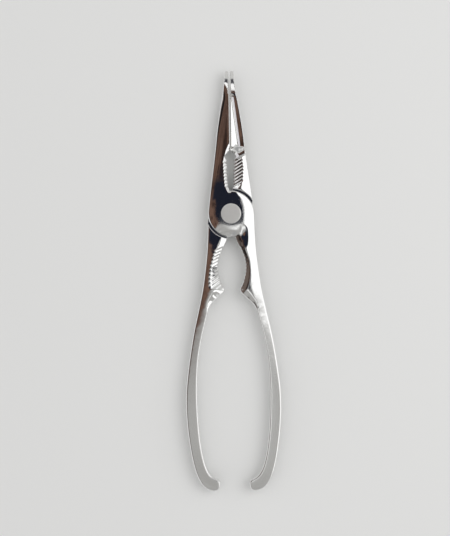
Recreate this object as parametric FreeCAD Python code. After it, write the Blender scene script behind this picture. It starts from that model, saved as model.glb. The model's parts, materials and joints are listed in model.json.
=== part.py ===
"""Lobster cracker: two identical cast levers, one turned over, held by a rivet.

Millimetres. X runs across the tool, Y along it with the jaw tips towards +Y,
Z is the thickness. The origin is on the pivot axis, on the flat lower end of
the rivet, which is the lowest point of the tool when it lies on a table.

A lever has a smooth outer side and a lap side. The front lever shows its outer
side upwards: its jaw is at the upper left and its handle at the lower right.
The rear lever is the same casting turned half a turn about the long axis.
"""

import FreeCAD, Part
import math
import os

V = FreeCAD.Vector

# Heights
RIVET_HEAD_HEIGHT = 0.8
BOSS_THICKNESS = 8.0
LAP_GAP = 0.1
HEAD_GAP = 0.05
MIDDLE_Z = RIVET_HEAD_HEIGHT + BOSS_THICKNESS / 2

# Pivot
BOSS_RADIUS = 10.2
SHOULDER_RADIUS = 10.8
BOSS_BEVEL = 0.5
RIVET_HEAD_RADIUS = 4.4
RIVET_HEAD_BEVEL = 0.3
SHANK_RADIUS = 3.0
RUNNING_CLEARANCE = 0.05

# Jaw, from the boss to the tip: Y, outer half width, half thickness
JAW_STATIONS = [
    (0.0, 10.15, 4.0),
    (5.0, 9.75, 4.0),
    (10.5, 9.0, 3.95),
    (19.5, 7.8, 3.6),
    (28.0, 6.7, 3.15),
    (37.0, 5.7, 2.75),
    (46.0, 4.4, 2.3),
    (54.5, 2.95, 1.9),
    (62.8, 2.0, 1.6),
]
JAW_BEVEL = 0.6
JAW_BEVEL_TIP = 0.35
JAW_FACE = 0.05
TIP_RELIEF = 0.4
TIP_RELIEF_Y = 52.7

# Opening between the jaws, one side of it, from its roof to its throat
THROAT_OUTLINE = [
    (-0.1, 27.6),
    (2.5, 25.2),
    (2.5, 24.7),
    (1.4, 24.2),
    (1.3, 20.0),
    (1.0, 14.0),
    (0.7, 11.0),
    (0.0, 10.0),
    (-0.1, 10.0),
]

# Lower, slightly sunk nose panel on the lap side of the jaw
NOSE_STEP = 0.7
NOSE_RAMP = 2.2
NOSE_STEP_Y = 27.0
NOSE_SLANT_DEG = 8.0

# Handle, from the boss to the hook: inner point, outer point, half thickness
HANDLE_STATIONS = [
    ((0.6, 0.0), (10.15, 0.0), 4.0),
    ((0.9, -7.0), (10.4, -7.0), 4.0),
    ((2.0, -12.0), (10.55, -12.0), 3.95),
    ((4.4, -16.5), (10.8, -16.5), 3.85),
    ((5.9, -23.5), (11.75, -23.5), 3.65),
    ((4.6, -30.2), (12.8, -31.0), 3.45),
    ((3.3, -33.5), (13.5, -35.2), 3.3),
    ((5.2, -36.1), (14.4, -38.8), 3.2),
    ((8.3, -38.8), (15.2, -42.7), 3.05),
    ((10.7, -43.0), (16.4, -47.6), 2.85),
    ((12.5, -50.0), (17.7, -54.0), 2.7),
    ((14.6, -59.4), (18.8, -60.6), 2.6),
    ((15.8, -72.6), (20.4, -73.2), 2.6),
    ((15.9, -84.0), (21.15, -84.4), 2.6),
    ((15.4, -94.0), (20.6, -95.0), 2.6),
    ((14.1, -103.9), (19.2, -105.6), 2.6),
    ((12.6, -110.0), (17.4, -113.2), 2.6),
    ((11.2, -113.4), (15.0, -118.3), 2.6),
    ((9.6, -115.2), (12.0, -121.2), 2.6),
    ((8.0, -116.2), (9.2, -122.0), 2.6),
    ((6.9, -117.0), (7.3, -121.5), 2.35),
    ((6.4, -118.0), (6.5, -120.4), 1.6),
]
HANDLE_BEVEL = 0.9

# Toothed flanks: where they run, how far they slope in and how deep
LAP_SIDE = -1
OUTER_SIDE = 1
WINDOW_FLANKS = {
    LAP_SIDE: [(-12.0, 1.2, 0.8), (-19.0, 2.6, 2.2), (-27.0, 4.2, 3.4), (-33.5, 4.2, 3.2), (-38.0, 1.5, 1.0)],
    OUTER_SIDE: [(-12.0, 0.8, 0.6), (-19.0, 2.0, 1.2), (-27.0, 2.2, 1.4), (-33.5, 1.6, 1.0), (-38.0, 0.8, 0.5)],
}
JAW_FLANKS = {
    LAP_SIDE: [(26.5, 3.4, 3.0), (20.0, 3.6, 3.2), (13.0, 3.0, 2.8), (9.0, 2.0, 2.0)],
    OUTER_SIDE: [(26.5, 1.0, 1.0), (20.0, 1.1, 1.2), (13.0, 1.1, 1.2), (9.0, 0.9, 0.9)],
}
TOOTH_PITCH = 1.5
TOOTH_DEPTH = 0.5
WINDOW_TEETH = 12
WINDOW_FIRST_TOOTH_Y = -15.0
JAW_TEETH = 8
JAW_FIRST_TOOTH_Y = 12.5

FAR = 40.0


def along(table, y):
    """Values of a table of (Y, value, value...) at y, by straight interpolation."""
    rows = sorted(table)
    y = min(max(y, rows[0][0]), rows[-1][0])
    for low, high in zip(rows, rows[1:]):
        if low[0] <= y <= high[0]:
            share = (y - low[0]) / (high[0] - low[0])
            return [a + share * (b - a) for a, b in zip(low[1:], high[1:])]


def bevelled_section(inner, outer, half_thickness, bevel):
    """Upright eight-cornered section between two plan points, about the middle height."""
    start = V(inner[0], inner[1], MIDDLE_Z)
    reach = V(outer[0] - inner[0], outer[1] - inner[1], 0)
    width = reach.Length
    across = reach.normalize()
    b = min(bevel, 0.3 * width, 0.6 * half_thickness)
    t = half_thickness
    corners = [
        (b, -t), (width - b, -t), (width, b - t), (width, t - b),
        (width - b, t), (b, t), (0, t - b), (0, b - t),
    ]
    points = [start + across * u + V(0, 0, w) for u, w in corners]
    return Part.makePolygon(points + points[:1])


def prism(outline, z_low, z_high):
    """Upright prism from plan points."""
    points = [V(x, y, z_low) for x, y in outline]
    return Part.Face(Part.makePolygon(points + points[:1])).extrude(V(0, 0, z_high - z_low))


def jaw():
    """The upper left jaw, solid down into the boss."""
    sections = []
    for y, width, half_thickness in JAW_STATIONS:
        bevel = JAW_BEVEL_TIP if y > TIP_RELIEF_Y else JAW_BEVEL
        sections.append(bevelled_section((-JAW_FACE, y), (-width, y), half_thickness, bevel))
    body = Part.makeLoft(sections, True, False)
    tip_y = JAW_STATIONS[-1][0]
    relief = [(1, TIP_RELIEF_Y), (-TIP_RELIEF, TIP_RELIEF_Y), (-TIP_RELIEF, tip_y + 1), (1, tip_y + 1)]
    throat = [(-x, y) for x, y in THROAT_OUTLINE]
    return body.cut([prism(relief, -FAR, FAR), prism(throat, -FAR, FAR)])


def handle():
    """The lower right handle with its inward hook."""
    sections = [bevelled_section(*station, HANDLE_BEVEL) for station in HANDLE_STATIONS]
    return Part.makeLoft(sections, True, False)


def boss():
    """Upper half of the round lap joint, with a bevelled rim."""
    lap_z = MIDDLE_Z + LAP_GAP / 2
    top_z = MIDDLE_Z + BOSS_THICKNESS / 2
    barrel = Part.makeCylinder(BOSS_RADIUS, top_z - BOSS_BEVEL - lap_z, V(0, 0, lap_z))
    crown = Part.makeCone(BOSS_RADIUS, BOSS_RADIUS - BOSS_BEVEL, BOSS_BEVEL, V(0, 0, top_z - BOSS_BEVEL))
    return barrel.fuse(crown)


def nose_step():
    """Cutter that sinks the lap side of the nose behind a slanting shoulder."""
    surface = MIDDLE_Z - along([(y, t) for y, _, t in JAW_STATIONS], NOSE_STEP_Y)[0]
    tip_y, _, tip_t = JAW_STATIONS[-1]
    profile = [
        (NOSE_STEP_Y, surface - 1),
        (NOSE_STEP_Y, surface),
        (NOSE_STEP_Y + NOSE_RAMP, surface + NOSE_STEP),
        (tip_y + 1, MIDDLE_Z - tip_t + 0.3),
        (tip_y + 1, surface - 1),
    ]
    points = [V(-FAR / 2, y, z) for y, z in profile]
    cutter = Part.Face(Part.makePolygon(points + points[:1])).extrude(V(FAR, 0, 0))
    cutter.rotate(V(0, NOSE_STEP_Y, 0), V(0, 0, 1), -NOSE_SLANT_DEG)
    return cutter


def throat_edge(y):
    """X of the jaw's inner edge in its toothed part."""
    rows = [(-x, y_point) for x, y_point in THROAT_OUTLINE[3:8]]
    return along([(y_point, x) for x, y_point in rows], y)[0]


def window_edge(y):
    """X of the handle's inner edge in its toothed part."""
    return along([(inner[1], inner[0]) for inner, _, _ in HANDLE_STATIONS[:9]], y)[0]


def thickness_at(y):
    """Half thickness of the lever at y."""
    rows = [(station_y, t) for station_y, _, t in JAW_STATIONS]
    rows += [(inner[1], t) for inner, _, t in HANDLE_STATIONS[1:16]]
    return along(rows, y)[0]


def flank_cutter(stations, edge, inward, side):
    """Sloping cut along a toothed edge. inward is the X direction into the metal."""
    sections = []
    for y, band, depth in stations:
        surface = MIDDLE_Z + side * thickness_at(y)
        foot = V(edge(y), y, surface - side * depth)
        head = V(edge(y) + inward * band, y, surface)
        slope = head - foot
        low = foot - slope * 1.5
        high = head + slope * 0.4
        corner = V(low.x, y, high.z)
        sections.append(Part.makePolygon([low, high, corner, low]))
    return Part.makeLoft(sections, True, True)


def groove(edge, y, stations, inward, side):
    """One V groove that runs up a sloping flank."""
    band, depth = along(stations, y)
    surface = MIDDLE_Z + side * thickness_at(y)
    foot = V(edge(y), y, surface - side * depth)
    slope = V(inward * band, 0, side * depth)
    normal = V(-inward * depth, 0, side * band).normalize()
    half = V(0, TOOTH_PITCH * 0.42, 0)
    start = foot - slope * 0.7
    triangle = [start - normal * TOOTH_DEPTH, start + normal * 1.0 + half * 3, start + normal * 1.0 - half * 3]
    return Part.Face(Part.makePolygon(triangle + triangle[:1])).extrude(slope * 1.6)


def teeth(edge, first_y, count, flanks, inward):
    """Every groove of one toothed edge, on both of its flanks."""
    step = -TOOTH_PITCH if first_y < 0 else TOOTH_PITCH
    return [
        groove(edge, first_y + step * i, flanks[side], inward, side)
        for side in (LAP_SIDE, OUTER_SIDE)
        for i in range(count)
    ]


def front_lever():
    """The lever whose outer side is up."""
    body = boss().fuse([jaw(), handle()])
    lap_z = MIDDLE_Z + LAP_GAP / 2
    cuts = [
        Part.makeCylinder(SHOULDER_RADIUS, FAR, V(0, 0, lap_z - FAR)),
        Part.makeCylinder(SHANK_RADIUS + RUNNING_CLEARANCE, FAR, V(0, 0, 0)),
        nose_step(),
    ]
    for side in (LAP_SIDE, OUTER_SIDE):
        cuts.append(flank_cutter(WINDOW_FLANKS[side], window_edge, 1, side))
        cuts.append(flank_cutter(JAW_FLANKS[side], throat_edge, -1, side))
    body = body.cut(cuts)
    body = body.cut(teeth(window_edge, WINDOW_FIRST_TOOTH_Y, WINDOW_TEETH, WINDOW_FLANKS, 1))
    body = body.cut(teeth(throat_edge, JAW_FIRST_TOOTH_Y, JAW_TEETH, JAW_FLANKS, -1))
    slab = Part.makeBox(4 * FAR, 8 * FAR, BOSS_THICKNESS, V(-2 * FAR, -4 * FAR, RIVET_HEAD_HEIGHT))
    return body.common(slab)


def rear_lever(front):
    """The same casting turned over."""
    body = front.copy()
    body.rotate(V(0, 0, MIDDLE_Z), V(0, 1, 0), 180)
    return body


def rivet_head(z, direction):
    """One flat head with a bevelled rim, standing out along Z from z."""
    rim = RIVET_HEAD_HEIGHT - RIVET_HEAD_BEVEL
    disc = Part.makeCylinder(RIVET_HEAD_RADIUS, rim, V(0, 0, z), V(0, 0, direction))
    bevel = Part.makeCone(
        RIVET_HEAD_RADIUS,
        RIVET_HEAD_RADIUS - RIVET_HEAD_BEVEL,
        RIVET_HEAD_BEVEL,
        V(0, 0, z + direction * rim),
        V(0, 0, direction),
    )
    return disc.fuse(bevel)


def pivot_rivet():
    """Shank and two heads in one piece."""
    low = RIVET_HEAD_HEIGHT
    high = RIVET_HEAD_HEIGHT + BOSS_THICKNESS + HEAD_GAP
    shank = Part.makeCylinder(SHANK_RADIUS, high - low, V(0, 0, low))
    return shank.fuse([rivet_head(low, -1), rivet_head(high, 1)]).removeSplitter()


def main():
    os.makedirs("parts", exist_ok=True)
    front = front_lever()
    nodes = {
        "front_lever": front,
        "rear_lever": rear_lever(front),
        "pivot_rivet": pivot_rivet(),
    }
    for name, shape in nodes.items():
        solid = shape.Solids[0]
        box = solid.BoundBox
        print(name, len(shape.Solids), shape.isValid(), round(solid.Volume), box)
        solid.exportStep("parts/" + name + ".step")


main()
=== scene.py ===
"""Lobster cracker: finished levers and rivet on the fixed frame, with a plain studio.

Lengths in the outline tables are millimetres, everything handed to Blender is metres.
A lever is drawn in its own position: outer side up, jaw to the left (-X), handle to
the right (+X), tips towards +Y. The rear lever is the same shape turned half a turn
about the long axis.
"""

import json
import math

import bpy
import numpy as np
from bpy.props import FloatProperty, FloatVectorProperty, PointerProperty
from mathutils.geometry import delaunay_2d_cdt
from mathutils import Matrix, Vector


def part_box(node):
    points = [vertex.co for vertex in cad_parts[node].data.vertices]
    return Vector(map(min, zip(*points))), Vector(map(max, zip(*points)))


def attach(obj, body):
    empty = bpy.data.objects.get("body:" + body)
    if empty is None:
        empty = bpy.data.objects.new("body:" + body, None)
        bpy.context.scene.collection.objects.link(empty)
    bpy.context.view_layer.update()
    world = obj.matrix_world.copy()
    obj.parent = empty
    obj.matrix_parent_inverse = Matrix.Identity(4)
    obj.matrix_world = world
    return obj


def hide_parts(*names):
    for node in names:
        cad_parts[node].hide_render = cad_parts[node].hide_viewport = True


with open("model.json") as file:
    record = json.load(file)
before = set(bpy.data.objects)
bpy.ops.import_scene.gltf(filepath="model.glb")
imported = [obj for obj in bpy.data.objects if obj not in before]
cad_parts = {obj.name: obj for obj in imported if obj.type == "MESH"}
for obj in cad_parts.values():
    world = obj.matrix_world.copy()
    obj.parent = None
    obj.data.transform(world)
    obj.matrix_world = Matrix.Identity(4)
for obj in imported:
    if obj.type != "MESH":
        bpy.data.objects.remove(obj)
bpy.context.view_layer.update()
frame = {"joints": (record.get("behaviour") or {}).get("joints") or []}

bl_info = {
    "name": "Lobster cracker",
    "version": (1, 0, 0),
    "blender": (4, 5, 0),
    "location": "3D View > Sidebar > Cracker",
    "description": "Builds the levers, the rivet and the studio of a seafood cracker",
    "category": "Object",
}

MM = 0.001
PIVOT = frame["joints"][0]["pos_m"]
MIDDLE_Z = PIVOT[2] / MM
LEVER_BOX = [[value / MM for value in corner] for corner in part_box("front_lever")]
RIVET_BOX = [[value / MM for value in corner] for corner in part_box("pivot_rivet")]
BOSS_RADIUS = -LEVER_BOX[0][0]
TIP_Y = LEVER_BOX[1][1]
HOOK_Y = LEVER_BOX[0][1]
BOSS_HALF = LEVER_BOX[1][2] - MIDDLE_Z

# Lever outline in plan, run by run: X, Y
JAW_OUTER = [
    (-2.0, TIP_Y - 0.35), (-2.9, 54.5), (-4.4, 45.7), (-5.75, 36.9), (-6.75, 28.1),
    (-7.85, 19.3), (-9.0, 10.5), (-9.72, 4.5), (-BOSS_RADIUS, 0.0),
]
HANDLE_INNER = [
    (1.6, -10.1), (2.6, -12.8), (4.3, -16.4), (5.5, -19.9), (5.9, -23.4), (5.5, -26.9),
    (4.5, -30.4), (3.5, -32.7), (3.35, -33.6), (3.9, -34.8), (6.6, -37.4), (9.2, -39.9),
    (10.6, -42.7), (11.7, -46.7), (12.8, -51.1), (14.2, -57.7), (15.2, -64.3), (15.8, -73.5),
    (15.85, -82.0), (15.5, -90.7), (14.85, -98.5), (13.9, -105.0), (12.6, -110.3),
    (11.5, -112.9), (10.1, -114.9), (8.4, -116.1), (7.3, -116.6),
]
HOOK_END = [
    (7.3, -116.6), (6.45, -117.4), (6.35, -118.8), (6.8, -120.6), (7.8, -121.6), (9.3, HOOK_Y),
]
HANDLE_OUTER = [
    (9.3, HOOK_Y), (11.9, -121.2), (14.2, -119.4), (16.6, -115.2), (18.6, -108.3), (20.0, -99.8),
    (20.85, -91.5), (21.12, -84.1), (20.85, -76.3), (20.0, -68.7), (18.7, -59.9), (17.1, -51.1),
    (15.1, -42.3), (13.2, -33.5), (11.9, -24.7), (10.95, -16.5), (10.45, -8.0), (BOSS_RADIUS, 0.0),
]
JAW_INNER = [(-0.45, 10.19), (-0.8, 11.2), (-1.0, 13.5), (-1.25, 18.0), (-1.4, 23.6)]
JAW_ROOF = [(-1.4, 23.6), (-2.35, 24.5), (-2.5, 25.0), (-2.2, 25.5), (-0.9, 27.0), (-0.05, 28.0)]
JAW_CONTACT = [(-0.05, 28.0), (-0.05, 52.3), (-0.38, 53.3), (-0.38, TIP_Y - 0.3)]
JAW_TIP = [(-0.38, TIP_Y - 0.3), (-0.68, TIP_Y), (-1.65, TIP_Y), (-2.0, TIP_Y - 0.35)]

# Half thickness along the lever: Y, value
HALF_THICKNESS = [
    (TIP_Y, 0.6), (61.2, 0.94), (59.4, 1.27), (57.0, 1.62), (54.7, 1.86), (51.7, 2.06),
    (46.0, 2.3), (37.0, 2.75), (28.0, 3.2), (19.5, 3.6), (10.5, 3.95), (0.0, 4.0), (-12.0, 4.0),
    (-23.5, 3.8), (-33.5, 3.45), (-45.0, 3.0), (-60.0, 2.68), (-84.0, 2.6), (HOOK_Y, 2.6),
]
# Sloping toothed flanks: Y, breadth of the slope, its depth at the edge
WINDOW_FLANK_LAP = [
    (-10.1, 2.4, 1.5), (-15.9, 2.3, 1.8), (-20.8, 2.3, 2.1), (-24.7, 3.1, 2.7), (-30.4, 5.0, 3.3),
    (-33.5, 5.2, 3.3), (-37.0, 3.4, 2.3), (-40.5, 1.5, 1.0), (-44.0, 0.2, 0.0),
]
WINDOW_FLANK_OUTER = [
    (-10.1, 2.3, 1.1), (-12.5, 2.3, 1.15), (-16.8, 1.9, 1.0), (-22.0, 1.9, 1.05), (-24.7, 2.1, 1.15),
    (-29.1, 2.7, 1.45), (-33.1, 2.9, 1.55), (-37.0, 2.4, 1.2), (-40.5, 1.3, 0.6), (-44.0, 0.2, 0.0),
]
JAW_FLANK_LAP = [
    (9.8, 2.2, 1.4), (13.0, 3.4, 2.05), (20.0, 3.8, 2.3), (24.0, 3.4, 2.1), (28.5, 1.0, 0.6),
    (29.5, 0.2, 0.0),
]
JAW_FLANK_OUTER = [
    (9.8, 0.9, 0.7), (13.0, 1.2, 1.1), (20.0, 1.3, 1.2), (24.0, 1.4, 1.3), (27.5, 1.0, 0.8),
    (31.0, 0.15, 0.0),
]
# Rows of teeth: Y of the first ridge, number of teeth
WINDOW_TEETH = (-14.2, 12)
JAW_TEETH = (11.4, 8)
# Where the toothed edges run, for measuring the slopes from them
WINDOW_EDGE = HANDLE_INNER[:13]
JAW_EDGE_TOP = [(-1.4, 23.7), (-0.05, 31.0)]
KNUCKLE_POINT = 9
CORNER_SOFTNESS = 0.05
# Edge radii that are not properties
TOOTHED_EDGE = 0.1 * MM
KNUCKLE_EDGE = 0.15 * MM
KNEE_EDGE = 0.4 * MM
CONTACT_EDGE = 0.22 * MM

# Ramp above the jaw teeth: where it starts and ends on the long axis, and the slant of both lines
RAMP_TOP = (24.9, 0.51)
RAMP_FOOT = (27.4, 0.89)
RAMP_FOOT_LIMIT = (30.5, -0.25)
RAMP_SOFTNESS = 0.12

# Crown: the Y between which it fades out, and the radii where the rivet's flat seat ends
CROWN_END_Y = (50.0, 58.0)
LAP_CROWN_END_Y = (21.9, 23.2)
SEAT_RADII = (3.0, 10.0)
# Outer side of the boss, as shares of the boss dome: its upper right and lower left rims fall
# away, and a hollow lies below the rivet. Each fades in or out between two distances.
RIM_REACH = 10.0
RIM_LIMIT = 10.6
RIM_SHARE = 0.7
UPPER_RIM_X = (2.0, 6.0)
LOWER_RIM_END_X = (-0.5, 2.0)
LOWER_RIM_END_Y = (10.4, 12.5)
HOLLOW_SHARE = 0.9
HOLLOW_X = (-8.5, -2.0)
HOLLOW_END_X = (4.2, 7.4)
HOLLOW_Y = (3.2, 10.0)
HOLLOW_END_Y = (10.0, 15.5)

# Sunk nose panel on the lap side of the jaw
PANEL_FROM_Y = 20.0
NOSE_DROP = 1.0
NOSE_FADE_Y = (29.0, 54.0)
NOSE_APEX_Y = 57.1
NOSE_TOP_Y = 53.0
NOSE_VALLEY_RATE = 0.1235
NOSE_WALL = 1.15
NOSE_STEP = 0.7
NOSE_FLOOR_TILT = 0.14
NOSE_FACET_TILT = 0.24

# Mesh rows and gaps
OUTLINE_STEP = 0.4
ARC_STEP = 0.35
FINE_STEP = 0.25
ROW_GAP = 0.3
FLANK_MARGIN = 1.2
LEAST_FLANK_DEPTH = 0.05
EDGE_CLEARANCE = 0.14
FEATURE_GAP = 0.07
GRID_GAP = 0.24
GRID_EDGE_GAP = 0.45
HOLE_MARGIN = 0.2
MERGE_GAP = 0.02
TOOTH_STEPS = 6
EDGE_ANGLES = (72, 54, 36, 18, 0)
LEAST_ROUND = 0.1
CREASE_OFFSETS = (-0.12, -0.04, 0.04, 0.12)
# Finer patches of the mesh: X range, Y range, spacing
TIP_PATCH = ((-4.6, 0.0), (49.5, TIP_Y), 0.25)
RAMP_PATCH = ((-7.4, 0.0), (21.5, 31.5), 0.22)

OUTER, LAP = 1, -1
FLANKS = {OUTER: (WINDOW_FLANK_OUTER, JAW_FLANK_OUTER), LAP: (WINDOW_FLANK_LAP, JAW_FLANK_LAP)}
SHARP_ANGLE = math.radians(38)
LOWER_HEAD_GAP = 0.01


# ---- plane curves


def smooth_line(points, step):
    """Points about a step apart on a smooth curve through the given points."""
    p = np.array(points, float)
    p = np.vstack([2 * p[0] - p[1], p, 2 * p[-1] - p[-2]])
    t = np.concatenate([[0], np.cumsum(np.sqrt(np.linalg.norm(np.diff(p, axis=0), axis=1)))])
    line = []
    for i in range(1, len(p) - 2):
        count = max(1, round(np.linalg.norm(p[i + 1] - p[i]) / step))
        for u in np.linspace(t[i], t[i + 1], count, endpoint=False):
            layer = [p[i + k] for k in (-1, 0, 1, 2)]
            knots = [t[i + k] for k in (-1, 0, 1, 2)]
            for width, pairs in ((1, 3), (2, 2), (1, 1)):
                start = 1 if pairs == 1 else 0
                layer = [
                    ((knots[start + k + width] - u) * layer[k] + (u - knots[start + k]) * layer[k + 1])
                    / (knots[start + k + width] - knots[start + k])
                    for k in range(pairs)
                ]
            line.append(layer[0])
    line.append(p[-2])
    return np.array(line)


def straight_line(points, step):
    """Points about a step apart on straight runs between the given points."""
    line = []
    for a, b in zip(points, points[1:]):
        a, b = np.array(a), np.array(b)
        count = max(1, round(np.linalg.norm(b - a) / step))
        line += [a + (b - a) * k / count for k in range(count)]
    return np.array(line + [np.array(points[-1])])


def arc(radius, start_deg, end_deg, step):
    """Points on an arc about the pivot."""
    count = max(2, round(abs(math.radians(end_deg - start_deg)) * radius / step))
    angles = np.radians(np.linspace(start_deg, end_deg, count + 1))
    return plan(np.cos(angles), np.sin(angles)) * radius


def plan(x, y):
    """Points from their X and Y."""
    return np.stack([x, y], axis=-1)


def by_y(table, y):
    """Columns of a table of (Y, value...) read off at y."""
    rows = np.array(sorted(table), float)
    return [np.interp(y, rows[:, 0], rows[:, k]) for k in range(1, rows.shape[1])]


def smooth_table(table, step=0.25):
    """A two-column table made smooth."""
    return [tuple(row) for row in smooth_line(sorted(table), step)]


def ease(low, high, value):
    """Smooth step from 0 at low to 1 at high."""
    t = np.clip((value - low) / (high - low), 0, 1)
    return t * t * (3 - 2 * t)


def soft_positive(value, softness):
    """max(value, 0) with a rounded corner."""
    return (value + np.sqrt(value * value + softness * softness)) / 2


def nearest(points, line):
    """Distance from each point to a line, and the fractional index of the nearest place on it."""
    a = line[:-1]
    run = line[1:] - a
    length2 = np.maximum((run * run).sum(1), 1e-12)
    distance = np.empty(len(points))
    place = np.empty(len(points))
    for k in range(0, len(points), 1500):
        block = points[k:k + 1500]
        rel = block[:, None, :] - a[None, :, :]
        t = np.clip((rel * run).sum(2) / length2, 0, 1)
        gap = rel - t[..., None] * run
        d2 = (gap * gap).sum(2)
        best = d2.argmin(1)
        rows = np.arange(len(block))
        distance[k:k + 1500] = np.sqrt(d2[rows, best])
        place[k:k + 1500] = best + t[rows, best]
    return distance, place


# ---- lever shape


class LeverShape:
    """Plan outline and height functions of one lever, in millimetres."""

    def __init__(self, size):
        self.size = size
        self.thickness_table = smooth_table(HALF_THICKNESS)
        self.jaw_width = sorted((y, -x) for x, y in smooth_line(JAW_OUTER, 0.5))
        self.handle_width = sorted((y, x) for x, y in smooth_line(HANDLE_OUTER, 0.5))
        self.window_edge = smooth_line(WINDOW_EDGE, 0.1)
        self.jaw_edge = np.vstack([smooth_line(JAW_INNER, 0.1), straight_line(JAW_EDGE_TOP, 0.1)])
        self.build_outline()

    def toothed_line(self, points, teeth):
        """An edge line whose points fall on the ridges and valleys of its teeth."""
        dense = smooth_line(points, 0.05)
        step = self.size.tooth_pitch / MM / TOOTH_STEPS
        start, count = teeth
        sign = 1 if start > 0 else -1
        rows = dense[np.argsort(dense[:, 1])]
        ys = start + sign * step * np.arange(count * TOOTH_STEPS + 1)
        toothed = plan(np.interp(ys, rows[:, 1], rows[:, 0]), ys)
        plain_run, clear = dense[::7], 0.15
        before = plain_run[(plain_run[:, 1] - start) * sign < -clear]
        after = plain_run[(plain_run[:, 1] - ys[-1]) * sign > clear]
        return np.vstack([before, toothed, after])

    def build_outline(self):
        """Closed outline, anticlockwise, with the edge radius at each of its points."""
        window_top = math.degrees(math.atan2(HANDLE_INNER[0][1], HANDLE_INNER[0][0])) + 360
        throat = math.degrees(math.atan2(JAW_INNER[0][1], JAW_INNER[0][0]))
        knuckle = HANDLE_INNER[:KNUCKLE_POINT + 1]
        grip = HANDLE_INNER[KNUCKLE_POINT:]
        size = self.size
        pieces = [
            (smooth_line(JAW_OUTER, OUTLINE_STEP), size.jaw_round, size.jaw_round),
            (arc(BOSS_RADIUS, 180, window_top, ARC_STEP), size.boss_round, size.boss_round),
            (self.toothed_line(knuckle, WINDOW_TEETH), TOOTHED_EDGE, KNUCKLE_EDGE),
            (smooth_line(grip, OUTLINE_STEP), KNEE_EDGE, size.grip_round),
            (smooth_line(HOOK_END, FINE_STEP), size.grip_round, size.grip_round),
            (smooth_line(HANDLE_OUTER, OUTLINE_STEP), size.grip_round, size.jaw_round),
            (arc(BOSS_RADIUS, 0, throat, ARC_STEP), size.boss_round, size.boss_round),
            (self.toothed_line(JAW_INNER, JAW_TEETH), TOOTHED_EDGE, TOOTHED_EDGE),
            (straight_line(JAW_ROOF, ROW_GAP), TOOTHED_EDGE, TOOTHED_EDGE),
            (straight_line(JAW_CONTACT, ARC_STEP), CONTACT_EDGE, CONTACT_EDGE),
            (straight_line(JAW_TIP, FINE_STEP), CONTACT_EDGE, CONTACT_EDGE),
        ]
        points, rounds = [], []
        for line, first, last in pieces:
            points.append(line[:-1])
            rounds.append(np.linspace(first, last, len(line))[:-1] / MM)
        points, rounds = np.vstack(points), np.concatenate(rounds)
        points, rounds = self.split_at_shoulder(points, rounds)
        self.outline, self.rounds = points, rounds
        ahead = np.roll(points, -1, axis=0) - points
        ahead /= np.linalg.norm(ahead, axis=1)[:, None]
        behind = np.roll(ahead, 1, axis=0)
        mean = ahead + behind
        mean /= np.linalg.norm(mean, axis=1)[:, None]
        self.inward = plan(-mean[:, 1], mean[:, 0])

    def split_at_shoulder(self, points, rounds):
        """Extra outline points just inside and outside the shoulder circle."""
        outer = self.size.shoulder_radius / MM
        inner = outer - self.size.shoulder_draft / MM
        new_points, new_rounds = [], []
        for k in range(len(points)):
            a, b = points[k], points[(k + 1) % len(points)]
            new_points.append(a)
            new_rounds.append(rounds[k])
            ra, rb = np.linalg.norm(a), np.linalg.norm(b)
            crossed = [radius for radius in (inner, outer) if (ra - radius) * (rb - radius) < 0]
            for t in sorted((radius - ra) / (rb - ra) for radius in crossed):
                new_points.append(a + (b - a) * t)
                new_rounds.append(rounds[k])
        return np.array(new_points), np.array(new_rounds)

    def round_at(self, place):
        """Edge radius at a fractional index along the closed outline."""
        return np.interp(place, np.arange(len(self.rounds) + 1), np.append(self.rounds, self.rounds[0]))

    # Heights above and below the middle plane

    def thickness(self, y):
        return np.minimum(by_y(self.thickness_table, y)[0], BOSS_HALF)

    def across(self, x, y):
        """Share of the half width that x is at: 0 on the long axis, 1 at the outer edge."""
        jaw = by_y(self.jaw_width, y)[0]
        handle = by_y(self.handle_width, y)[0]
        width = np.where((x < 0) & (y > 0), jaw, np.where((x > 0) & (y < 0), handle, BOSS_RADIUS))
        return np.clip(np.abs(x) / width, 0, 1)

    def crown(self, x, y, side):
        """How far the surface has fallen below its crest."""
        drop = self.size.crown / MM * (1 - ease(*CROWN_END_Y, y))
        bow = self.across(x, y) ** 2
        if side == LAP:
            past_teeth = ease(*LAP_CROWN_END_Y, y - RAMP_TOP[1] * np.abs(x)) * (x < 0)
            return drop * bow * (1 - past_teeth)
        reach = np.minimum(np.abs(y), RIM_LIMIT) / RIM_REACH
        upper = RIM_SHARE * reach ** 6 * ease(*UPPER_RIM_X, x) * (y > 0)
        lower = RIM_SHARE * reach ** 8 * (1 - ease(*LOWER_RIM_END_X, x)) * (1 - ease(*LOWER_RIM_END_Y, -y))
        hollow = HOLLOW_SHARE * ease(*HOLLOW_Y, -y) * (1 - ease(*HOLLOW_END_Y, -y))
        hollow = hollow * (1 - ease(*HOLLOW_END_X, x)) * ease(*HOLLOW_X, x)
        dome = self.size.boss_dome / MM * (upper + (hollow + lower) * (y <= 0))
        return (drop * bow + dome) * ease(*SEAT_RADII, np.hypot(x, y))

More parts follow.
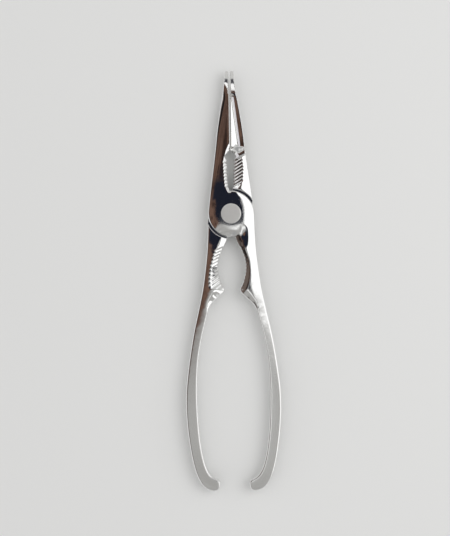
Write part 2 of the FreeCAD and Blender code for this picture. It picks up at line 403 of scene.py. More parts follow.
    def nose_panel(self, x, y):
        """Depth of the sunk panel and of its sloping shoulder on the lap side of the jaw."""
        q = np.abs(x)
        top, foot = ramp_ends(q)
        share = (y - top) / (foot - top)
        ramp = soft_positive(share, RAMP_SOFTNESS) - soft_positive(share - 1, RAMP_SOFTNESS)
        drop = NOSE_DROP * ramp * (1 - ease(*NOSE_FADE_Y, y))
        valley = NOSE_VALLEY_RATE * (NOSE_APEX_Y - y)
        inside = ease(0, 2.5, NOSE_TOP_Y - y) * ramp
        width = by_y(self.jaw_width, y)[0]
        facet = NOSE_FACET_TILT * np.maximum(width - valley - NOSE_WALL, 0)
        floor = facet + NOSE_STEP + NOSE_FLOOR_TILT * (np.minimum(q, valley) - valley)
        wall = np.clip((q - valley) / NOSE_WALL, 0, 1)
        beyond = NOSE_FACET_TILT * np.clip(width - q, 0, width - valley - NOSE_WALL)
        sunk = np.where(q < valley, floor, beyond + NOSE_STEP * (1 - wall))
        return drop + np.where(x < 0, sunk * inside, 0)

    def flank(self, points, side):
        """Distance from the toothed edge, and the breadth and depth of its slope there."""
        x, y = points[:, 0], points[:, 1]
        handle_side = (x > 0) & (y < 0)
        jaw_side = (x < 0) & (y > 0)
        edge = np.full(len(points), 99.0)
        breadth = np.ones(len(points))
        depth = np.zeros(len(points))
        lines = (self.window_edge, self.jaw_edge)
        for mask, line, table in zip((handle_side, jaw_side), lines, FLANKS[side]):
            if not mask.any():
                continue
            distance, place = nearest(points[mask], line)
            line_y = np.interp(place, np.arange(len(line)), line[:, 1])
            b, d = by_y(table, line_y)
            edge[mask], breadth[mask], depth[mask] = distance, b, d
        return edge, breadth, depth

    def flank_cut(self, edge, breadth, depth):
        return depth * soft_positive(1 - edge / breadth, CORNER_SOFTNESS)

    def edge_round(self, distance, radius):
        """Fall of a rounded edge at a distance from it."""
        gap = np.clip(radius - distance, 0, radius)
        return radius - np.sqrt(np.maximum(radius * radius - gap * gap, 0))

    def height(self, points, side, distance, radius):
        """Height above the middle plane of the outer side, or below it on the lap side."""
        x, y = points[:, 0], points[:, 1]
        level = self.thickness(y) - self.crown(x, y, side)
        if side == LAP:
            level -= self.nose_panel(x, y) * (x < 0) * (y > PANEL_FROM_Y)
        level -= self.flank_cut(*self.flank(points, side))
        if side == LAP:
            r = np.hypot(x, y)
            shoulder = self.size.shoulder_radius / MM
            level -= self.edge_round(np.maximum(r - shoulder, 0), self.size.shoulder_round / MM)
            lap = r < shoulder - 0.5 * self.size.shoulder_draft / MM
            level = np.where(lap, -self.size.lap_gap / MM / 2, level)
            radius = np.where(lap, np.minimum(radius, KNUCKLE_EDGE / MM), radius)
        return level - self.edge_round(distance, radius)


def ramp_ends(q):
    """Y where the ramp above the jaw teeth starts and ends, at a distance from the long axis."""
    top, foot, limit = (y + slant * q for y, slant in (RAMP_TOP, RAMP_FOOT, RAMP_FOOT_LIMIT))
    return top, np.minimum(foot, limit)


# ---- lever mesh


def inside_outline(points, outline):
    """Which points lie inside a closed outline."""
    x, y = points[:, 0], points[:, 1]
    inside = np.zeros(len(points), bool)
    following = np.roll(outline, -1, axis=0)
    for (x1, y1), (x2, y2) in zip(outline, following):
        if y1 == y2:
            continue
        crosses = ((y1 > y) != (y2 > y)) & (x < (x2 - x1) * (y - y1) / (y2 - y1) + x1)
        inside ^= crosses
    return inside


def round_rows(radius):
    """Distances from an edge to the rows of points that make its rounding."""
    return [radius * (1 - math.sin(math.radians(angle))) for angle in EDGE_ANGLES]


def edge_rows(shape):
    """Rows of points beside the outline, close together where the edge is rounded, and their reach."""
    draft = shape.size.draft / MM
    reaches = [draft + row for row in round_rows(np.maximum(shape.rounds, LEAST_ROUND))]
    reaches.append(draft + shape.rounds + ROW_GAP)
    return [(shape.outline + shape.inward * reach[:, None], reach) for reach in reaches]


def flank_lattice(shape, teeth, line, table, lean):
    """Points on the tooth ridges and valleys, which cross the slope at a lean."""
    start, count = teeth
    sign = 1 if start > 0 else -1
    step = shape.size.tooth_pitch / MM / TOOTH_STEPS
    rows = line[np.argsort(line[:, 1])]
    runs, offsets = [], []
    for k in range(-TOOTH_STEPS, (count + 1) * TOOTH_STEPS + 1):
        run = start + sign * step * k
        reach = np.arange(ROW_GAP, by_y(table, run)[0] + FLANK_MARGIN, ROW_GAP)
        runs.append(np.full(len(reach), run))
        offsets.append(reach)
    runs, offsets = np.concatenate(runs), np.concatenate(offsets)
    y = runs + lean * offsets
    for _ in range(6):
        x = np.interp(y, rows[:, 1], rows[:, 0]) - sign * offsets
        distance, _ = nearest(plan(x, y), line)
        y = (y + runs + lean * distance) / 2
    return plan(x, y)


def crease_lines(shape):
    """Lines along the creases of the lap side, with a row close by on either side."""
    shoulder = shape.size.shoulder_radius / MM
    draft = shape.size.shoulder_draft / MM
    radius = shape.size.shoulder_round / MM
    lines = []
    for first, last in ((60, 175), (255, 355)):
        ring = arc(1.0, first, last, FINE_STEP / shoulder)
        lines += [ring * (shoulder - draft), ring * shoulder, ring[::2] * (shoulder - draft - ROW_GAP)]
        lines += [ring * (shoulder + reach) for reach in round_rows(radius)]
    ys = np.arange(RAMP_FOOT_LIMIT[0], NOSE_TOP_Y, ROW_GAP)
    for crease in (0.0, NOSE_WALL):
        for offset in CREASE_OFFSETS:
            q = NOSE_VALLEY_RATE * (NOSE_APEX_Y - ys) + (crease + offset)
            lines.append(plan(-q, ys))
    qs = np.arange(0.1, 6.5, 0.2)
    for offset in (-0.1, 0.0, 0.1):
        lines += [plan(-qs, y + offset) for y in ramp_ends(qs)]
    return lines


def face_points(shape, side):
    """Every point inside the outline that one side's surface is built on."""
    loop = np.vstack([shape.outline, shape.outline[:1]])
    groups = []
    for row, reach in edge_rows(shape):
        distance, _ = nearest(row, loop)
        groups.append(row[(distance > reach * 0.93) & inside_outline(row, shape.outline)])
    placed = np.vstack(groups)
    window, jaw = FLANKS[side]
    lean = shape.size.tooth_lean if side == LAP else 0
    features = [
        flank_lattice(shape, WINDOW_TEETH, shape.window_edge, window, -lean),
        flank_lattice(shape, JAW_TEETH, shape.jaw_edge, jaw, lean),
    ]
    patches = [TIP_PATCH]
    if side == LAP:
        features += crease_lines(shape)
        patches.append(RAMP_PATCH)
    for (x_low, x_high), (y_low, y_high), gap in patches:
        grid_x, grid_y = np.meshgrid(np.arange(x_low, x_high, gap), np.arange(y_low, y_high, gap))
        features.append(plan(grid_x.ravel(), grid_y.ravel()))
    for group in features:
        distance, _ = nearest(group, loop)
        group = group[inside_outline(group, shape.outline) & (distance > EDGE_CLEARANCE)]
        placed = np.vstack([placed, thin_out(group, placed, FEATURE_GAP)])
    spacing = shape.size.mesh_spacing / MM
    xs = np.arange(LEVER_BOX[0][0], LEVER_BOX[1][0], spacing)
    ys = np.arange(HOOK_Y, TIP_Y, spacing * math.sqrt(3) / 2)
    grid_x, grid_y = np.meshgrid(xs, ys)
    grid_x[1::2] += spacing / 2
    grid = plan(grid_x.ravel(), grid_y.ravel())
    grid = grid[inside_outline(grid, shape.outline)]
    distance, place = nearest(grid, loop)
    grid = grid[distance > shape.round_at(place) + shape.size.draft / MM + GRID_EDGE_GAP]
    points = np.vstack([placed, thin_out(grid, placed, GRID_GAP)])
    hole = shape.size.hole_radius / MM
    return merge_close(points[np.hypot(points[:, 0], points[:, 1]) > hole + HOLE_MARGIN], MERGE_GAP)


def thin_out(points, others, gap):
    """Points that are at least a gap away from all the others, by a coarse grid search."""
    taken = {}
    for p in others:
        taken.setdefault((int(p[0] // gap), int(p[1] // gap)), []).append(p)
    steps = [(i, j) for i in (-1, 0, 1) for j in (-1, 0, 1)]
    kept = []
    for k, p in enumerate(points):
        i, j = int(p[0] // gap), int(p[1] // gap)
        nearby = (q for di, dj in steps for q in taken.get((i + di, j + dj), ()))
        if not any((p[0] - q[0]) ** 2 + (p[1] - q[1]) ** 2 < gap * gap for q in nearby):
            kept.append(k)
    return points[kept]


def merge_close(points, gap):
    """Drops points that fall on top of earlier ones."""
    _, first = np.unique(np.round(points / gap).astype(int), axis=0, return_index=True)
    return points[np.sort(first)]


def triangulate(shape, side):
    """Vertices and triangles of one side in plan, outline and hole first."""
    hole = arc(shape.size.hole_radius / MM, 0, 360, 0.4)[:-1]
    inner = face_points(shape, side)
    n, m = len(shape.outline), len(hole)
    points = np.vstack([shape.outline, hole, inner])
    rim = [(n + k, n + (k + 1) % m) for k in range(m)]
    coords, _, faces, origin, _, _ = delaunay_2d_cdt(points.tolist(), rim, [list(range(n))], 1, 1e-6)
    back = np.array([min(o) if o else -1 for o in origin])
    if (back < 0).any() or len(coords) != len(points):
        raise RuntimeError("the outline crosses itself: %d points became %d" % (len(points), len(coords)))
    tris = back[np.array([list(f) for f in faces])]
    centres = points[tris].mean(axis=1)
    inside_hole = np.linalg.norm((hole[0] + hole[1]) / 2) - 1e-3
    keep = np.hypot(centres[:, 0], centres[:, 1]) > inside_hole
    return points, tris[keep], n, m


def tooth_fields(shape, points, side, outline_count, inward):
    """Run along the teeth, and the push that takes a point into a tooth gap, per millimetre of depth."""
    edge, breadth, depth = shape.flank(points, side)
    x, y = points[:, 0], points[:, 1]
    sharp = shape.size.tooth_depth / MM
    lean = shape.size.tooth_lean if side == LAP else 0
    run = np.zeros(len(points))
    push = np.zeros((len(points), 3))
    zones = (((x > 0) & (y < 0), WINDOW_TEETH, -lean), ((x < 0) & (y > 0), JAW_TEETH, lean))
    pitch = shape.size.tooth_pitch / MM
    for mask, (start, count), slant in zones:
        sign = 1 if start > 0 else -1
        along = sign * (y - slant * edge - start)
        within = mask & (along > 0) & (along < count * pitch)
        within &= (edge < breadth + FLANK_MARGIN) & (depth > LEAST_FLANK_DEPTH)
        # The window's outer side has teeth at its edge only, the others across the whole slope
        smooth_slope = side == OUTER and start < 0
        run[within] = along[within]
        fade = 1 - (ease(0, 1.3, edge) if smooth_slope else ease(-0.5, 0.5, edge - breadth))
        direction = np.zeros((len(points), 2))
        direction[:, 0] = -sign
        direction[:outline_count] = inward
        shift = sharp * fade
        read = edge + shift - (0 if smooth_slope else sharp)
        level = shape.flank_cut(edge, breadth, depth) - shape.flank_cut(read, breadth, depth)
        push[within, :2] = (direction * shift[:, None])[within] / sharp
        push[within, 2] = (side * level)[within] / sharp
    return run * MM, push


def lever_mesh(name, shape, turned):
    """The whole lever as one closed mesh, with the teeth still uncut."""
    loop = np.vstack([shape.outline, shape.outline[:1]])
    verts, runs, pushes, tris = [], [], [], []
    draft = shape.size.draft / MM
    counts = []
    for side in (OUTER, LAP):
        points, faces, n, m = triangulate(shape, side)
        distance, place = nearest(points, loop)
        radius = shape.round_at(place)
        distance[:n] = 0
        height = shape.height(points, side, np.maximum(distance - draft, 0), radius)
        run, push = tooth_fields(shape, points, side, n, shape.inward)
        flat = points.copy()
        flat[:n] += shape.inward * draft
        start = sum(counts)
        verts.append(np.column_stack([flat, MIDDLE_Z + side * height]))
        runs.append(run)
        pushes.append(push)
        faces = faces if side == OUTER else faces[:, ::-1]
        tris += (faces + start).tolist()
        counts.append(len(points))
    lap, wall = counts[0], sum(counts)
    # Middle ring of the side wall, on the true outline
    high = verts[0][:n, 2]
    low = verts[1][:n, 2]
    verts.append(np.column_stack([shape.outline, (high + low) / 2]))
    runs.append(runs[0][:n])
    wall_push = pushes[0][:n].copy()
    wall_push[:, 2] = 0
    pushes.append(wall_push)
    for k in range(n):
        j = (k + 1) % n
        tris.append([k, wall + k, wall + j, j])
        tris.append([wall + k, lap + k, lap + j, wall + j])
    for k in range(m):
        j = (k + 1) % m
        tris.append([n + k, n + j, lap + n + j, lap + n + k])
    verts = np.vstack(verts)
    pushes = np.vstack(pushes)
    if turned:
        verts = verts * [-1, 1, -1] + [0, 0, 2 * MIDDLE_Z]
        pushes = pushes * [-1, 1, -1]
    mesh = bpy.data.meshes.new(name)
    mesh.from_pydata((verts * MM).tolist(), [], tris)
    run_layer = mesh.attributes.new("tooth_run", "FLOAT", "POINT")
    run_layer.data.foreach_set("value", np.concatenate(runs).astype(np.float32))
    push_layer = mesh.attributes.new("tooth_push", "FLOAT_VECTOR", "POINT")
    push_layer.data.foreach_set("vector", pushes.astype(np.float32).ravel())
    mesh.validate()
    return mesh


# ---- node helpers

PRINCIPLED = "ShaderNodeBsdfPrincipled"


def add_node(tree, kind, settings=(), **inputs):
    """A node of a kind, with its settings and then its sockets filled."""
    node = tree.nodes.new(kind)
    for key, value in dict(settings).items():
        setattr(node, key, value)
    for key, value in inputs.items():
        fill(tree, node, key, value)
    return node


def fill(tree, node, key, value):
    """Puts a value or a link on a node's input, named or numbered."""
    index = key[1:] if key[0] == "i" and key[1:].isdigit() else None
    socket = node.inputs[int(index)] if index else node.inputs[key.replace("_", " ")]
    if isinstance(value, Wire):
        tree.links.new(value.socket, socket)
    elif isinstance(value, bpy.types.NodeSocket):
        tree.links.new(value, socket)
    else:
        socket.default_value = value


class Wire:
    """A node's output that adds, subtracts, multiplies and divides by adding Math nodes."""

    def __init__(self, tree, socket):
        self.tree = tree
        self.socket = socket

    def math(self, operation, other=None, swap=False):
        node = self.tree.nodes.new("ShaderNodeMath")
        node.operation = operation
        first, second = (1, 0) if swap else (0, 1)
        fill(self.tree, node, "i%d" % first, self)
        if other is not None:
            fill(self.tree, node, "i%d" % second, other)
        return Wire(self.tree, node.outputs[0])

    def __add__(self, other):
        return self.math("ADD", other)

    __radd__ = __add__

    def __mul__(self, other):
        return self.math("MULTIPLY", other)

    def __sub__(self, other):
        return self.math("SUBTRACT", other)

    def __rsub__(self, other):
        return self.math("SUBTRACT", other, swap=True)

    def __truediv__(self, other):
        return self.math("DIVIDE", other)

    def limit(self, low, high):
        """Remaps low..high to 0..1 and clamps."""
        node = self.tree.nodes.new("ShaderNodeMapRange")
        node.interpolation_type = "SMOOTHSTEP"
        fill(self.tree, node, "i0", self)
        fill(self.tree, node, "i1", low)
        fill(self.tree, node, "i2", high)
        return Wire(self.tree, node.outputs[0])


class Shader:
    """One material's node tree."""

    def __init__(self, name):
        self.material = bpy.data.materials.new(name)
        self.material.use_nodes = True
        self.tree = self.material.node_tree
        self.tree.nodes.clear()
        self.output = self.tree.nodes.new("ShaderNodeOutputMaterial")

    def node(self, kind, settings=(), out=0, **inputs):
        """Adds a node and returns one of its outputs as a wire."""
        made = add_node(self.tree, kind, settings, **inputs)
        return Wire(self.tree, made.outputs[out])

    def place(self, scale=(1, 1, 1)):
        """Object coordinates, scaled."""
        return self.node("ShaderNodeMapping", Vector=self.node("ShaderNodeTexCoord", out=3), Scale=scale)

    def noise(self, vector, scale, detail=2.0, rough=0.5, distort=0.0):
        inputs = {"Scale": scale, "Detail": detail, "Roughness": rough, "Distortion": distort}
        return self.node("ShaderNodeTexNoise", Vector=vector, **inputs)

    def bump(self, height, strength, distance, normal=None):
        inputs = {"Height": height, "Strength": strength, "Distance": distance}
        if normal is not None:
            inputs["Normal"] = normal
        return self.node("ShaderNodeBump", **inputs)

    def blend(self, share, first, second):
        """A colour mixed from two, each a wire or an RGB triple."""
        first, second = (c if isinstance(c, Wire) else (*c, 1) for c in (first, second))
        return self.node("ShaderNodeMix", {"data_type": "RGBA"}, 2, i0=share, i6=first, i7=second)

    def split(self, vector):
        """The X and Y parts of a vector."""
        parts = add_node(self.tree, "ShaderNodeSeparateXYZ", i0=vector)
        return Wire(self.tree, parts.outputs[0]), Wire(self.tree, parts.outputs[1])

    def finish(self, kind, **inputs):
        """Puts one shader node on the material's surface."""
        self.tree.links.new(self.node(kind, **inputs).socket, self.output.inputs["Surface"])
        return self.material


# ---- materials


def chrome_plate(look):
    """Bright chrome over a polished casting: soft waviness, fine rubbed lines and a few smudges."""
    s = Shader("chrome plate")
    grain = s.place()
    wave = s.noise(grain, 260.0, 2.0, 0.4)
    fine = s.noise(s.place((1, 0.08, 1)), 9000.0, 2.0, 0.6)
    smudge = s.noise(grain, 120.0, 4.0, 0.6, 0.6).limit(0.52, 0.75)
    east, north = s.split(grain)
    grip = 1 - north.limit(-0.062, -0.046)
    rough = look.chrome_roughness + smudge * 0.05 + (fine - 0.5) * 0.02 + grip * look.grip_roughness
    soft = s.bump(wave, 1.0, look.chrome_waviness)
    reach = (east * east + north * north).math("SQRT")
    bearing = s.node("ShaderNodeCombineXYZ", X=north.math("ARCTAN2", east) * 9.0, Y=reach * 700.0)
    streak = s.noise(bearing, 1.6, 3.0, 0.6) * (1 - reach.limit(0.0055, 0.0095))
    soft = s.bump(streak, 1.0, look.streak_depth, soft)
    normal = s.bump(fine, 0.05, 0.00002, soft)
    tint = s.blend(smudge * 0.35, look.chrome_color, [c * 0.93 for c in look.chrome_color])
    return s.finish(PRINCIPLED, Base_Color=tint, Roughness=rough, Normal=normal, Metallic=1.0)


def satin_rivet(look):
    """Faced steel with faint turning rings and small pits."""
    s = Shader("satin rivet")
    grain = s.place()
    pits = s.noise(grain, 2600.0, 3.0, 0.6).limit(0.62, 0.72)
    rings = s.node("ShaderNodeTexWave", {"wave_type": "RINGS", "rings_direction": "Z"}, 1,
                   Vector=grain, Scale=900.0, Distortion=2.0, Detail=2.0)
    mottle = s.noise(grain, 700.0, 3.0)
    rough = look.rivet_roughness + mottle * 0.08
    normal = s.bump(pits * -1.0 + rings * 0.15, 0.4, 0.00003)
    tint = s.blend(pits * 0.6 + mottle * 0.3, look.rivet_color, [c * 0.72 for c in look.rivet_color])
    return s.finish(PRINCIPLED, Base_Color=tint, Roughness=rough, Normal=normal, Metallic=0.7)


def plain(name, color, roughness):
    """A plain matt surface for the floor."""
    return Shader(name).finish(PRINCIPLED, Base_Color=(*color, 1), Roughness=roughness)


# ---- geometry nodes


def teeth_tree(material):
    """Geometry Nodes that press V-shaped gaps into the toothed flanks."""
    tree = bpy.data.node_groups.new("cut teeth", "GeometryNodeTree")
    tree.interface.new_socket("Geometry", in_out="INPUT", socket_type="NodeSocketGeometry")
    for name in ("Pitch", "Depth"):
        socket = tree.interface.new_socket(name, in_out="INPUT", socket_type="NodeSocketFloat")
        socket.subtype = "DISTANCE"
    tree.interface.new_socket("Geometry", in_out="OUTPUT", socket_type="NodeSocketGeometry")
    entry = add_node(tree, "NodeGroupInput")
    pitch = Wire(tree, entry.outputs["Pitch"])
    read = "GeometryNodeInputNamedAttribute"
    run = add_node(tree, read, {"data_type": "FLOAT"}, Name="tooth_run")
    push = add_node(tree, read, {"data_type": "FLOAT_VECTOR"}, Name="tooth_push")
    half = pitch * 0.5
    gap = Wire(tree, run.outputs[0]).math("PINGPONG", half) / half
    reach = gap * Wire(tree, entry.outputs["Depth"])
    offset = add_node(tree, "ShaderNodeVectorMath", {"operation": "SCALE"}, i0=push.outputs[0], i3=reach)
    moved = add_node(tree, "GeometryNodeSetPosition", Geometry=entry.outputs[0], Offset=offset.outputs[0])
    real = add_node(tree, "GeometryNodeRealizeInstances", Geometry=moved.outputs[0])
    last = add_node(tree, "GeometryNodeSetMaterial", Geometry=real.outputs[0], Material=material)
    leave = add_node(tree, "NodeGroupOutput")
    tree.links.new(last.outputs[0], leave.inputs[0])
    return tree


def applied(obj, tree, values):
    """The object with a Geometry Nodes tree applied to it as plain mesh."""
    modifier = obj.modifiers.new("nodes", "NODES")
    modifier.node_group = tree
    for item in tree.interface.items_tree:
        if item.in_out == "INPUT" and item.name in values:
            modifier[item.identifier] = values[item.name]
    graph = bpy.context.evaluated_depsgraph_get()
    mesh = bpy.data.meshes.new_from_object(obj.evaluated_get(graph), depsgraph=graph)
    obj.modifiers.remove(modifier)
    old = obj.data
    obj.data = mesh
    mesh.name = obj.name
    bpy.data.meshes.remove(old)
    return obj


# ---- pieces


def new_object(name, mesh):
    obj = bpy.data.objects.new(name, mesh)
    bpy.context.scene.collection.objects.link(obj)
    return obj


def named_material(name, make, look):
    """A material by name, made the first time it is asked for."""
    return bpy.data.materials.get(name) or make(look)


def build_lever(scene, node, body, turned):
    """One finished lever riding on its body in place of its frame node."""
    size, look = scene.cracker_lever, scene.cracker_look
    shape = LeverShape(size)
    obj = new_object(node + "_cast", lever_mesh(node + "_cast", shape, turned))
    material = named_material("chrome plate", chrome_plate, look)
    tree = bpy.data.node_groups.get("cut teeth") or teeth_tree(material)
    applied(obj, tree, {"Pitch": size.tooth_pitch, "Depth": size.tooth_depth})
    for name in ("tooth_run", "tooth_push"):
        obj.data.attributes.remove(obj.data.attributes[name])
    obj.data.polygons.foreach_set("use_smooth", [True] * len(obj.data.polygons))
    obj.data.set_sharp_from_angle(angle=SHARP_ANGLE)
    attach(obj, body)
    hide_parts(node)
    return obj


def turned_mesh(name, profile, segments):
    """A closed solid of revolution about the pivot from (radius, z) pairs, poles first and last."""
    angles = [2 * math.pi * k / segments for k in range(segments)]
    rings = [(r * MM, z * MM) for r, z in profile[1:-1]]
    verts = [(r * math.cos(a), r * math.sin(a), z) for r, z in rings for a in angles]
    top, bottom = len(verts), len(verts) + 1
    last = top - segments
    verts += [(0, 0, profile[0][1] * MM), (0, 0, profile[-1][1] * MM)]
    faces = []
    for k in range(segments):
        j = (k + 1) % segments
        faces += [(a + k, a + segments + k, a + segments + j, a + j) for a in range(0, last, segments)]
        faces += [(top, k, j), (bottom, last + j, last + k)]
    mesh = bpy.data.meshes.new(name)
    mesh.from_pydata(verts, [], faces)
    return mesh


def build_rivet(scene):
    """The rivet with two faced heads and rounded rims, in place of its frame node."""
    size, look = scene.cracker_rivet, scene.cracker_look
    radius = RIVET_BOX[1][0]
    low, high = RIVET_BOX[0][2], RIVET_BOX[1][2]
    under_front = LEVER_BOX[1][2] + size.head_gap / MM
    under_rear = LEVER_BOX[0][2] - LOWER_HEAD_GAP
    shank = size.shank_radius / MM
    rim = size.rim / MM
    face = [0, 0.6, 1.5, 2.4, radius - rim - 0.25]
    turns = [math.radians(a) for a in range(0, 91, 15)]
    profile = [(r, high) for r in face]
    profile += [(radius - rim + rim * math.sin(a), high - rim + rim * math.cos(a)) for a in turns]
    profile += [(radius, under_front), (shank, under_front), (shank, under_rear), (radius, under_rear)]
    profile += [(radius - rim + rim * math.cos(a), low + rim - rim * math.sin(a)) for a in turns]
    profile += [(r, low) for r in reversed(face)]
    mesh = turned_mesh("pivot_rivet_set", profile, 96)
    obj = new_object("pivot_rivet_set", mesh)
    mesh.materials.append(named_material("satin rivet", satin_rivet, look))
    mesh.polygons.foreach_set("use_smooth", [True] * len(mesh.polygons))
    mesh.set_sharp_from_angle(angle=SHARP_ANGLE)
    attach(obj, "rear")
    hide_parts("pivot_rivet")
    return obj


# ---- studio

REFLECTOR_PLAN = ((-1.15, -0.75), (1.3, 1.2))
SOFT_BOX_SIDE = 0.6
SOFT_BOX_PLACE = (0.45, 0.1, 0.7)
SOFT_BOX_LEAN = math.radians(33)


def reflector(stage):
    """A wide card overhead that only shows in reflections.

    Over the tool it is brown and navy, to the right white, towards the handles grey, and
    far to the left and past the tips it runs through dark and light bands.
    """
    navy, black, umber = (0.012, 0.014, 0.024), (0.012, 0.010, 0.010), (0.15, 0.115, 0.10)
    dark_brown, brown = (0.035, 0.020, 0.016), (0.17, 0.10, 0.075)
    dull_grey, light_grey = (0.35, 0.345, 0.335), (0.47, 0.465, 0.455)
    lilac, white, charcoal = (0.74, 0.72, 0.75), (1.0, 1.0, 1.0), (0.07, 0.07, 0.08)

    s = Shader("reflector")
    coords = s.node("ShaderNodeTexCoord", out=3)
    wander = (s.noise(coords, 9.0, 3.0) - 0.5) * 0.03
    mottle = s.noise(coords, 14.0, 4.0, 0.6)
    x, y = s.split(coords)
    x, y = x + wander * 0.3, y + wander

    # Brown to the left of a slanting line, navy to its right
    browns = s.blend(mottle.limit(0.38, 0.62), dark_brown, brown)
    line = x + 0.11 + y.limit(-0.035, 0.005) * 0.09 - (1 - y.limit(-0.14, -0.08)) * 0.05
    tone = s.blend((1 - line.limit(-0.016, 0.016)).math("MAXIMUM", y.limit(0.085, 0.115)), navy, browns)
    # Bands from the middle to the far left, then the white side
    tone = s.blend(1 - x.limit(-0.34, -0.30), tone, black)
    tone = s.blend(1 - x.limit(-0.50, -0.43), tone, umber)
    tone = s.blend(1 - x.limit(-0.68, -0.62), tone, lilac)
    tone = s.blend(x.limit(0.108, 0.122), tone, [c * 1.25 for c in white])
    # Grey towards the handles, lit where the boss's hollow looks
    low = (x + 0.08).math("MINIMUM", 0.0) * 0.6 + (x + 0.25).math("MINIMUM", 0.0) * 1.2
    low = low - (x - 0.18).math("MAXIMUM", 0.0) * 0.8 - x.limit(0.0, 0.1) * 0.03 - 0.045
    softness = (0.09 - x.math("ABSOLUTE")).math("MAXIMUM", 0.0) * 0.55 + 0.014
    grey = s.blend(mottle.limit(0.3, 0.7), dull_grey, light_grey)
    lit = x.limit(-0.06, 0.05) * (1 - x.limit(0.082, 0.09)) * y.limit(-0.2, -0.17)
    grey = s.blend(lit, grey, white)
    tone = s.blend(1 - ((y - low) / softness).limit(-1.0, 1.0), tone, grey)
    # Bands past the tips
    high = y + (x + 0.15).math("MINIMUM", 0.0) * 0.4
    tone = s.blend(high.limit(0.185, 0.195), tone, [c * 1.1 for c in white])
    tone = s.blend(high.limit(0.24, 0.25), tone, charcoal)
    tone = s.blend(high.limit(0.28, 0.295), tone, (0.62, 0.62, 0.61))

    (west, south), (east, north) = REFLECTOR_PLAN
    z = stage.reflector_height
    mesh = bpy.data.meshes.new("reflector")
    corners = [(west, south, z), (west, north, z), (east, north, z), (east, south, z)]
    mesh.from_pydata(corners, [], [(0, 1, 2, 3)])
    mesh.materials.append(s.finish("ShaderNodeEmission", Color=tone, Strength=1.0))
    obj = new_object("reflector", mesh)
    for ray in ("camera", "diffuse", "shadow", "transmission"):
        setattr(obj, "visible_" + ray, False)


def build_stage(scene):
    """Pale floor, soft light, reflector and the camera."""
    stage = scene.cracker_stage
    floor = bpy.data.meshes.new("floor")
    half = stage.floor_size / 2
    corners = [(-half, -half, 0), (half, -half, 0), (half, half, 0), (-half, half, 0)]
    floor.from_pydata(corners, [], [(0, 1, 2, 3)])
    floor.materials.append(plain("pale floor", stage.floor_color, 0.7))
    new_object("floor", floor)

    world = bpy.data.worlds.new("studio")
    world.use_nodes = True
    tree = world.node_tree
    direction = add_node(tree, "ShaderNodeTexCoord")
    parts = add_node(tree, "ShaderNodeSeparateXYZ", Vector=direction.outputs["Generated"])
    along, height = Wire(tree, parts.outputs[1]), Wire(tree, parts.outputs[2])
    shade = along.math("ABSOLUTE").limit(0.45, 0.85) * height.limit(0.06, 0.2)
    sky = add_node(tree, "ShaderNodeMix", {"data_type": "RGBA"}, i0=shade,
                   i6=(*stage.world_color, 1), i7=(*[c * 0.45 for c in stage.world_color], 1))
    background = tree.nodes["Background"]
    tree.links.new(sky.outputs[2], background.inputs["Color"])
    background.inputs["Strength"].default_value = stage.world_strength
    scene.world = world

    reflector(stage)

    light = bpy.data.lights.new("soft box", "AREA")
    light.shape = "RECTANGLE"
    light.size, light.size_y = SOFT_BOX_SIDE, SOFT_BOX_SIDE
    light.energy = stage.light_power
    lamp = new_object("soft box", light)
    lamp.location = SOFT_BOX_PLACE
    lamp.rotation_euler = (0, SOFT_BOX_LEAN, 0)
    lamp.visible_glossy = False

    distance = stage.camera_distance
    camera_data = bpy.data.cameras.new("camera")
    camera_data.lens = camera_data.sensor_width * distance / stage.view_height
    camera_data.clip_start = 0.01
    camera = new_object("camera", camera_data)
    camera.location = (*stage.view_centre, MIDDLE_Z * MM + distance)
    camera.rotation_euler = (0, 0, -stage.camera_roll)
    scene.camera = camera
    scene.view_settings.view_transform = "Standard"


# ---- properties


def length(name, description, default, least=0.0):
    """A length property, in metres."""
    return FloatProperty(name=name, description=description, default=default, min=least, unit="LENGTH")


def fraction(name, description, default):
    """A property between 0 and 1."""
    return FloatProperty(name=name, description=description, default=default, min=0, max=1)


def colour(name, description, default):
    """A colour property."""
    return FloatVectorProperty(
        name=name, description=description, default=default, size=3, min=0, max=1, subtype="COLOR"
    )


class CrackerLever(bpy.types.PropertyGroup):
    crown: length("Crown", "Fall of the faces at the outer edge", 1.0 * MM)
    boss_dome: length("Boss dome", "Extra fall of the boss across the other lever", 0.7 * MM)
    jaw_round: length("Jaw edge", "Radius of the jaw's outer edges", 0.4 * MM)
    boss_round: length("Boss edge", "Radius of the boss's rim", 0.55 * MM)
    grip_round: length("Handle edge", "Radius of the handle's edges", 0.9 * MM)
    draft: length("Draft", "How far the side walls lean in from the parting line", 0.08 * MM)
    shoulder_radius: length("Shoulder", "Radius of the shoulder round the other boss", 11.0 * MM)
    shoulder_round: length("Shoulder edge", "Radius of the shoulder's edge", 0.35 * MM)
    shoulder_draft: length("Shoulder draft", "Lean of the shoulder's wall", 0.04 * MM)
    lap_gap: length("Lap gap", "Gap between the two lap faces", 0.1 * MM)
    hole_radius: length("Rivet hole", "Radius of the rivet hole", 3.05 * MM)
    tooth_pitch: length("Tooth pitch", "Distance from one tooth to the next", 1.5 * MM, 0.1 * MM)
    tooth_depth: length("Tooth depth", "Depth of the gaps between the teeth", 0.45 * MM)
    tooth_lean: FloatProperty(
        name="Tooth lean", description="How far the teeth slant across the flank", default=0.6, min=0
    )
    mesh_spacing: length("Mesh spacing", "Distance between mesh points on the faces", 0.45 * MM, 0.1 * MM)


class CrackerRivet(bpy.types.PropertyGroup):
    shank_radius: length("Shank", "Radius of the shank", 3.0 * MM)
    head_gap: length("Head gap", "Running gap under the upper head", 0.05 * MM)
    rim: length("Rim", "Radius of the rounded rim of the heads", 0.45 * MM)


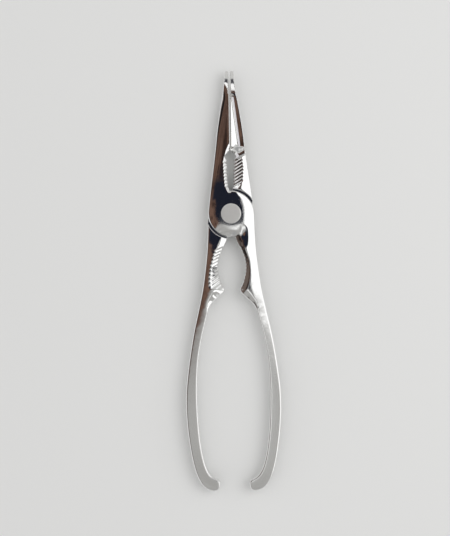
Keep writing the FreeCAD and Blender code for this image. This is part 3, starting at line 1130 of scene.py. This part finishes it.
class CrackerLook(bpy.types.PropertyGroup):
    chrome_color: colour("Chrome", "Reflectance of the plating", (0.86, 0.86, 0.85))
    chrome_roughness: fraction("Chrome roughness", "Base roughness of the plating", 0.05)
    grip_roughness: fraction("Handle roughness", "Roughness added on the handles", 0.1)
    chrome_waviness: length("Waviness", "Height of the polish's waviness", 0.000022)
    streak_depth: length("Streaks", "Depth of the rubbed streaks round the rivet", 0.00003)
    rivet_color: colour("Rivet", "Colour of the rivet's steel", (0.74, 0.73, 0.71))
    rivet_roughness: fraction("Rivet roughness", "Roughness of the rivet's face", 0.38)


class CrackerStage(bpy.types.PropertyGroup):
    reflector_height: length("Reflector height", "Height of the card overhead", 0.5, 0.1)
    floor_size: length("Floor", "Side of the floor", 6.0)
    floor_color: colour("Floor colour", "Colour of the floor", (0.8, 0.8, 0.79))
    world_color: colour("Surroundings", "Colour of the even surroundings", (0.9, 0.9, 0.9))
    world_strength: FloatProperty(
        name="Surroundings strength", description="Strength of the surroundings", default=0.93, min=0
    )
    light_power: FloatProperty(
        name="Soft box", description="Power of the soft box", default=1.5, min=0, unit="POWER"
    )
    camera_distance: length("Camera distance", "Height of the camera over the tool", 0.7, 0.1)
    camera_roll: FloatProperty(
        name="Camera roll", description="Turn about the line of sight", default=math.radians(0.82),
        subtype="ANGLE",
    )
    view_height: length("View height", "Height of the view at the tool", 0.2358)
    view_centre: FloatVectorProperty(
        name="View centre", description="Where the camera looks", size=2, default=(-0.0030, -0.0238),
        subtype="XYZ",
    )


# ---- operators


class CRACKER_OT_front_lever(bpy.types.Operator):
    """Builds the front lever: upper left jaw, top boss and lower right handle"""

    bl_idname = "cracker.front_lever"
    bl_label = "Front lever"

    def execute(self, context):
        build_lever(context.scene, "front_lever", "front", False)
        return {"FINISHED"}


class CRACKER_OT_rear_lever(bpy.types.Operator):
    """Builds the rear lever: the same casting turned over"""

    bl_idname = "cracker.rear_lever"
    bl_label = "Rear lever"

    def execute(self, context):
        build_lever(context.scene, "rear_lever", "rear", True)
        return {"FINISHED"}


class CRACKER_OT_pivot_rivet(bpy.types.Operator):
    """Builds the rivet that holds the levers"""

    bl_idname = "cracker.pivot_rivet"
    bl_label = "Pivot rivet"

    def execute(self, context):
        build_rivet(context.scene)
        return {"FINISHED"}


class CRACKER_OT_stage(bpy.types.Operator):
    """Builds the floor, the light and the camera"""

    bl_idname = "cracker.stage"
    bl_label = "Stage"

    def execute(self, context):
        build_stage(context.scene)
        return {"FINISHED"}


class CRACKER_PT_panel(bpy.types.Panel):
    """Lists the pieces and their sizes"""

    bl_label = "Lobster cracker"
    bl_idname = "CRACKER_PT_panel"
    bl_space_type = "VIEW_3D"
    bl_region_type = "UI"
    bl_category = "Cracker"

    def draw(self, context):
        layout = self.layout
        for name in GROUPS:
            box = layout.box()
            group = getattr(context.scene, name)
            for key in group.bl_rna.properties.keys():
                if key not in ("rna_type", "name"):
                    box.prop(group, key)
        for operator in OPERATORS:
            layout.operator(operator.bl_idname)


GROUPS = {
    "cracker_lever": CrackerLever,
    "cracker_rivet": CrackerRivet,
    "cracker_look": CrackerLook,
    "cracker_stage": CrackerStage,
}
OPERATORS = (CRACKER_OT_front_lever, CRACKER_OT_rear_lever, CRACKER_OT_pivot_rivet, CRACKER_OT_stage)


def register():
    for cls in (*GROUPS.values(), *OPERATORS, CRACKER_PT_panel):
        bpy.utils.register_class(cls)
    for name, cls in GROUPS.items():
        setattr(bpy.types.Scene, name, PointerProperty(type=cls))


def unregister():
    for name in GROUPS:
        delattr(bpy.types.Scene, name)
    for cls in reversed((*GROUPS.values(), *OPERATORS, CRACKER_PT_panel)):
        bpy.utils.unregister_class(cls)


def main():
    register()
    bpy.ops.cracker.front_lever()
    bpy.ops.cracker.rear_lever()
    bpy.ops.cracker.pivot_rivet()
    bpy.ops.cracker.stage()


if __name__ == "__main__":
    main()
